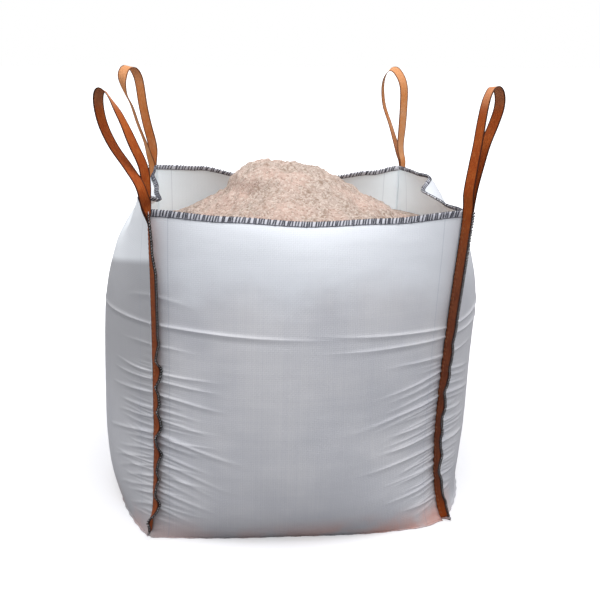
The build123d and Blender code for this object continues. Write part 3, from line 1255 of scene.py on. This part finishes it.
@dataclass
class SandLoad:
    """The load: a body of sand that fills the bag and heaps up above its rim."""

    finishes: Finishes
    segments: int = 276
    level: float = 0.742
    centre: tuple[float, float] = (-0.03, 0.02)
    inset: float = 0.004
    sunk_inset: float = 0.014
    foot: float = 0.006
    profile: Pairs = (
        (0.0, 0.947), (0.05, 0.946), (0.10, 0.934), (0.15, 0.909), (0.20, 0.877), (0.28, 0.832),
        (0.36, 0.792), (0.45, 0.755), (0.54, 0.741), (0.80, 0.738),
    )
    full_profile: Pairs = (
        (0.0, 0.947), (0.05, 0.946), (0.10, 0.937), (0.15, 0.915), (0.20, 0.891), (0.36, 0.815),
        (0.51, 0.743), (0.80, 0.738),
    )
    step_way: tuple[float, float] = (-0.97, -0.24)
    step_edge: float = 0.140
    step_rise: float = 0.030
    step_drop: float = 0.018
    lumps: tuple[tuple[float, float, float], ...] = (
        (13.0, 0.011, 4.0), (31.0, 0.0085, 6.0), (70.0, 0.0050, 8.0), (170.0, 0.0018, 12.0),
    )

    def height(self, point: Array) -> Array:
        """The heap's height over each point: its slope, a slipped step, clods and grains.

        Args:
            point: Points inside the walls.

        Returns:
            The height of the sand at each.
        """
        x, y = point[:, 0] - self.centre[0], point[:, 1] - self.centre[1]
        away, flat = np.hypot(x, y), point * LEVEL
        wander = fine_noise(flat, 4.0, 9.0)
        facing = (x * self.step_way[0] + y * self.step_way[1]) / np.maximum(away, 1e-6)
        sideways = smooth((np.abs(x) / np.maximum(away, 1e-6) - 0.45) / 0.40)
        slope = away * (1 + 0.08 * wander + 0.22 * smooth(facing))
        lean, full = (np.interp(slope, *zip(*pairs)) for pairs in (self.profile, self.full_profile))
        top = full + (lean - full) * sideways
        slipped = smooth((facing - 0.25) / 0.5)
        edge = self.step_edge + 0.012 * fine_noise(flat, 18.0, 2.0)
        shelf = self.step_rise * (1 - smooth((away - edge) / 0.020)) - self.step_drop
        top = top + slipped * shelf * smooth((0.34 - away) / 0.18)
        heap = smooth((0.52 - away) / 0.25)
        for scale, size, seed in self.lumps:
            lump = fine_noise(flat, scale, seed)
            top = top + size * (0.35 + 0.65 * heap) * np.sign(lump) * np.abs(lump) ** 0.8
        return top

    def place(self, first: Array, second: Array) -> Array:
        """The top of the load.

        Args:
            first: Shares from the left wall to the right.
            second: Shares from the front to the back.

        Returns:
            One row of X, Y and Z for each point.
        """
        point = Outline(self.inset).inside(first, second, np.full_like(first, self.level))
        border = np.minimum(np.minimum(first, 1 - first), np.minimum(second, 1 - second))
        free = smooth(border / 0.03)
        point[:, 2] = self.height(point) * free + self.level * (1 - free)
        return point

    def sides(self, around: Array, down: Array) -> Array:
        """The body of the load, just inside the walls.

        Args:
            around: Shares round the bag, a quarter for each wall.
            down: Shares from the top to the foot.

        Returns:
            One row of X, Y and Z for each point.
        """
        height = self.level * (1 - down) + self.foot * down
        outline, sunk = Outline(self.inset), Outline(self.sunk_inset)
        out = np.zeros((len(around), 3))
        for k, side in enumerate(SIDES):
            here = (around * 4 >= k) if k == 3 else (around * 4 >= k) & (around * 4 < k + 1)
            share = np.clip(around[here] * 4 - k, 0.0, 1.0)
            near = smooth(down[here] / 0.05)[:, None]
            first = outline.edge(side, share, height[here])
            out[here] = first * (1 - near) + sunk.edge(side, share, height[here]) * near
        return out

    def build(self) -> None:
        """Makes the load as one closed mesh."""
        top = grid_mesh("sand_load", self.segments, self.segments, self.place, side_by_side)
        body = grid_mesh("sand_body", self.segments * 4, 10, self.sides, side_by_side)
        bm = bmesh.new()
        bm.from_mesh(top.data)
        bm.from_mesh(body.data)
        bpy.data.objects.remove(body)
        bmesh.ops.remove_doubles(bm, verts=bm.verts, dist=2e-5)
        bmesh.ops.holes_fill(bm, edges=[e for e in bm.edges if e.is_boundary], sides=0)
        bmesh.ops.recalc_face_normals(bm, faces=bm.faces)
        bm.to_mesh(top.data)
        bm.free()
        dress(top, self.finishes.sand)
        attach(top, BAG)
        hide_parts("sand_fill")
        log.info("sand: %d faces", len(top.data.polygons))


# --- corner seams and straps ---


@dataclass
class CornerSeam:
    """The turned-out, overlocked edges of two walls at one corner."""

    corner: Corner
    finishes: Finishes
    width: float = 0.032
    thickness: float = 0.0014
    steps: int = 240

    def frame(self, height: Array) -> tuple[Array, Array, Array]:
        """The seam's root, its level way out and its face, at each height.

        Args:
            height: Heights above the floor.

        Returns:
            The three, one row for each height.
        """
        root = self.corner.seam_point(height)
        way = self.corner.seam_way(height)
        return root, way, np.cross(way, UP)

    def build(self) -> None:
        """Makes the sewn edges and the thread that wraps them."""
        height = np.linspace(self.corner.seam_foot, BagForm.height - 0.001, self.steps)
        root, way, face = self.frame(height)
        middle = root + way * (self.width / 2 - 0.002)
        strip = Ribbon(middle, way, face, self.width + 0.004, self.thickness, 0.3)
        edges = dress(strip.mesh(f"{self.corner.name}_seam_edges", 16), self.finishes.cloth)
        stitches = Overlock(root + way * (self.width + 0.0012), -way, face, 0.0062, 0.0046,
                            pitch=0.0074, slant=0.8, radius=0.0008, seed=7 + self.corner.x)
        loops = threads(f"{self.corner.name}_seam_overlock", stitches.lines(), stitches.radius,
                        self.finishes.seam_thread)
        for piece in (edges, loops):
            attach(piece, BAG)
        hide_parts(f"{self.corner.name}_seam")
        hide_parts(f"{self.corner.name}_seam_thread")
        log.info("%s seam: %d stitches", self.corner.name, len(stitches.lines()))


@dataclass
class Strap:
    """One length of webbing, sewn up one face of a corner seam, over as a loop and down the other."""

    seam: CornerSeam
    finishes: Finishes
    width: float = 0.033
    sewn_width: float = 0.030
    thickness: float = 0.0018
    step: float = 0.006
    foot: float = 0.006
    hinge_height: float = 0.8906
    sewn_top: float = 0.855
    stitch_rows: tuple[float, float] = (-0.0125, -0.006)

    @property
    def corner(self) -> Corner:
        """The corner that the strap is sewn to."""
        return self.seam.corner

    @property
    def hinge(self) -> Array:
        """The middle of the line across which the loop folds over."""
        out = self.corner.seam_radius(np.array(BagForm.height)) + 0.0006 + self.sewn_width / 2
        return self.corner.outward * float(out) + UP * self.hinge_height

    def leg(self, face_side: float) -> tuple[Array, Array]:
        """Centres and width vectors up one face of the seam.

        Args:
            face_side: 1 or -1, for the face that the leg lies on.

        Returns:
            The two, one row for each step.
        """
        height = np.arange(self.corner.seam_foot + self.foot, BagForm.height - 0.030, self.step)
        root, way, face = self.seam.frame(height)
        apart = self.seam.thickness / 2 + 0.0002 + self.thickness / 2
        return root + way * (0.0008 + self.sewn_width / 2) + face * (face_side * apart), way

    def loop(self) -> tuple[Array, Array]:
        """Centres and width vectors of the standing loop.

        Returns:
            The two, one row for each step.
        """
        knots = np.array([(*knot, 0.0)[:3] for knot in self.corner.loop]) / 1000
        knots = np.vstack([2 * knots[0] - knots[1], knots, 2 * knots[-1] - knots[-2]])
        fine = []
        for k in range(1, len(knots) - 2):
            t = np.linspace(0, 1, 12, endpoint=False)[:, None]
            a, b, c, d = knots[k - 1 : k + 3]
            fine.append(0.5 * (2 * b + (c - a) * t + (2 * a - 5 * b + 4 * c - d) * t**2
                               + (3 * b - a - 3 * c + d) * t**3))
        flat = np.vstack([*fine, knots[-2:-1]])
        flat[:, 1] += 0.012 * (1 - smooth(flat[:, 1] / 0.03))
        centres = self.hinge + self.corner.along * flat[:, :1] + UP * flat[:, 1:2]
        centres = centres + self.corner.outward * flat[:, 2:]
        share = np.linspace(0, 1, len(centres))
        turn = np.radians(through(self.corner.loop_turn, share))[:, None]
        flat_way = np.tile(self.corner.outward, (len(centres), 1))
        return centres, flat_way * np.cos(turn) + np.cross(ways(centres), flat_way) * np.sin(turn)

    def ribbon(self) -> Ribbon:
        """The whole strap, evened out along its length.

        Returns:
            The strap as a ribbon.
        """
        loop, loop_way = self.loop()
        side = math.copysign(1.0, np.dot(loop[0] - loop[-1], np.cross(self.corner.outward, UP)))
        up_leg, up_way = self.leg(side)
        down_leg, down_way = self.leg(-side)
        centres = np.vstack([up_leg, loop, down_leg[::-1]])
        across = np.vstack([up_way, loop_way, down_way[::-1]])
        run = run_of(centres)
        at = np.linspace(0, run[-1], int(run[-1] / self.step))
        centres, across = read_off(at, run, centres), read_off(at, run, across)
        for _ in range(5):
            for rows in (centres, across):
                rows[1:-1] = (rows[:-2] + 2 * rows[1:-1] + rows[2:]) / 4
        way = ways(centres)
        across = unit(across - way * np.sum(across * way, axis=1, keepdims=True))
        wide = self.sewn_width + (self.width - self.sewn_width) * smooth((centres[:, 2] - 0.86) / 0.06)
        across = across * (wide / self.width)[:, None]
        return Ribbon(centres, across, unit(np.cross(way, across)), self.width, self.thickness)

    def stitching(self, ribbon: Ribbon) -> list[Array]:
        """Two rows of running stitches up each sewn leg, on the strap's outer face.

        Args:
            ribbon: The strap.

        Returns:
            The two ends of each stitch.
        """
        lines = []
        sewn = [k for k in range(2, len(ribbon.centres) - 3) if ribbon.centres[k][2] < self.sewn_top]
        for k in sewn[:-1:2]:
            out = ribbon.centres[k] - self.corner.seam_point(np.array(ribbon.centres[k][2]))
            face = ribbon.normal[k] * math.copysign(1.0, np.dot(ribbon.normal[k], out))
            for row in self.stitch_rows:
                ends = []
                for j in (k, k + 1):
                    side = ribbon.across[j] * math.copysign(1.0, np.dot(ribbon.across[j], out))
                    ends.append(ribbon.centres[j] + side * row + face * (self.thickness / 2 + 0.0002))
                lines.append(np.array(ends))
        return lines

    def build(self) -> None:
        """Makes the strap and its stitching."""
        name = self.corner.name
        ribbon = self.ribbon()
        # the back straps take the paler webbing, which is partly painted light
        finish = self.finishes.faded_webbing if self.corner.y > 0 else self.finishes.webbing
        piece = dress(ribbon.mesh(f"{name}_lifting_strap", 24), finish)
        tuple(self.hinge - UP * 0.008)
        tuple(self.hinge + UP * 0.030)
        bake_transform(piece)
        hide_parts(f"{name}_loop", f"{name}_webbing_first_leg", f"{name}_webbing_second_leg")
        rows = threads(f"{name}_strap_stitching", self.stitching(ribbon), 0.0007,
                       self.finishes.strap_thread)
        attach(rows, BAG)
        log.info("%s strap: %d faces", name, len(piece.data.polygons))


# --- camera, light and floor ---


@dataclass(frozen=True)
class Studio:
    """A pale studio: a white floor and surround, a large soft lamp overhead and two weak fills."""

    eye: tuple[float, float, float] = (-0.2916, -2.9511, 1.3401)
    yaw: float = -6.19
    pitch: float = 15.08
    roll: float = 0.47
    lens: float = 61.4
    lamps: tuple[tuple[str, tuple[float, float, float], float, float], ...] = (
        ("overhead_softbox", (0.12, -0.85, 3.15), 2.0, 52.0),
        ("left_fill", (-3.4, -0.4, 1.6), 2.0, 14.0),
        ("front_fill", (3.0, -2.3, 1.4), 2.4, 13.0),
    )

    def camera(self) -> None:
        """Sets the camera at the viewing angle."""
        data = bpy.data.cameras.new("camera")
        data.lens = self.lens
        data.sensor_width = 36.0
        data.clip_end = 50.0
        made = in_scene("camera", data)
        turn = (
            Matrix.Rotation(math.radians(self.yaw), 4, "Z")
            @ Matrix.Rotation(math.radians(90 - self.pitch), 4, "X")
            @ Matrix.Rotation(math.radians(self.roll), 4, "Z")
        )
        made.matrix_world = Matrix.Translation(self.eye) @ turn
        bpy.context.scene.camera = made

    def lamp(self, name: str, place: tuple[float, float, float], size: float, power: float) -> None:
        """A square soft lamp that looks at the bag's middle.

        Args:
            name: The lamp's name.
            place: Where it hangs.
            size: The length of its side.
            power: Its power in watts.
        """
        data = bpy.data.lights.new(name, "AREA")
        data.size = size
        data.energy = power
        made = in_scene(name, data)
        made.location = place
        way = Vector((0.0, 0.0, 0.5)) - Vector(place)
        made.rotation_euler = way.to_track_quat("-Z", "Y").to_euler()

    def surround(self) -> None:
        """White where the camera sees it, and a dimmer grey light on the object."""
        world = bpy.data.worlds.new("studio_surround")
        world.use_nodes = True
        bpy.context.scene.world = world
        tree = world.node_tree
        tree.nodes.clear()
        path = add(tree, "LightPath")
        seen = add(tree, "Math", (path.outputs["Is Camera Ray"], path.outputs["Is Transmission Ray"]),
                   operation="MAXIMUM")
        dim = add(tree, "Background", {"Color": "#f1f2f5", "Strength": 0.86})
        white = add(tree, "Background", {"Color": "#ffffff", "Strength": 1.0})
        mix = add(tree, "MixShader", (seen.outputs[0], dim.outputs[0], white.outputs[0]))
        add(tree, "OutputWorld", (mix.outputs[0],))

    def floor(self) -> None:
        """A pale floor that keeps the bag's shadow."""
        bm = bmesh.new()
        bmesh.ops.create_grid(bm, x_segments=1, y_segments=1, size=30.0)
        made = as_object(bm, "studio_floor")
        material = bpy.data.materials.new("matt_white_floor")
        material.use_nodes = True
        tree = material.node_tree
        tree.nodes.clear()
        path = add(tree, "LightPath")
        lit = add(tree, "BsdfDiffuse", {"Color": "#d9d9dc"})
        where = add(tree, "TexCoord")
        away = add(tree, "VectorMath", (where.outputs["Object"],), operation="LENGTH")
        far = add(tree, "MapRange", (away.outputs["Value"], 0.6, 3.2, 0.42, 1.0),
                  interpolation_type="SMOOTHSTEP")
        glow = add(tree, "Emission", {"Color": "#ffffff", "Strength": far.outputs[0]})
        seen = add(tree, "AddShader", (lit.outputs[0], glow.outputs[0]))
        dull = add(tree, "BsdfDiffuse", {"Color": "#8f8f92"})
        mix = add(tree, "MixShader", (path.outputs["Is Camera Ray"], dull.outputs[0], seen.outputs[0]))
        add(tree, "OutputMaterial", (mix.outputs[0],))
        made.data.materials.append(material)

    def build(self) -> None:
        """Sets up camera, lamps, surround and floor."""
        self.camera()
        for name, place, size, power in self.lamps:
            self.lamp(name, place, size, power)
        self.surround()
        self.floor()
        bpy.context.scene.view_settings.view_transform = "Standard"


def main() -> None:
    """Builds the scene: studio first, then the load, the walls, the seams and the straps."""
    logging.basicConfig(level=logging.INFO, format="%(name)s: %(message)s")
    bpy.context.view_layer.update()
    Studio().build()
    finishes = Finishes.make()
    SandLoad(finishes).build()
    Base(finishes).build()
    for side in SIDES:
        Wall(side, finishes).build()
    for corner in CORNERS.values():
        seam = CornerSeam(corner, finishes)
        seam.build()
        Strap(seam, finishes).build()


if __name__ == "__main__":
    main()
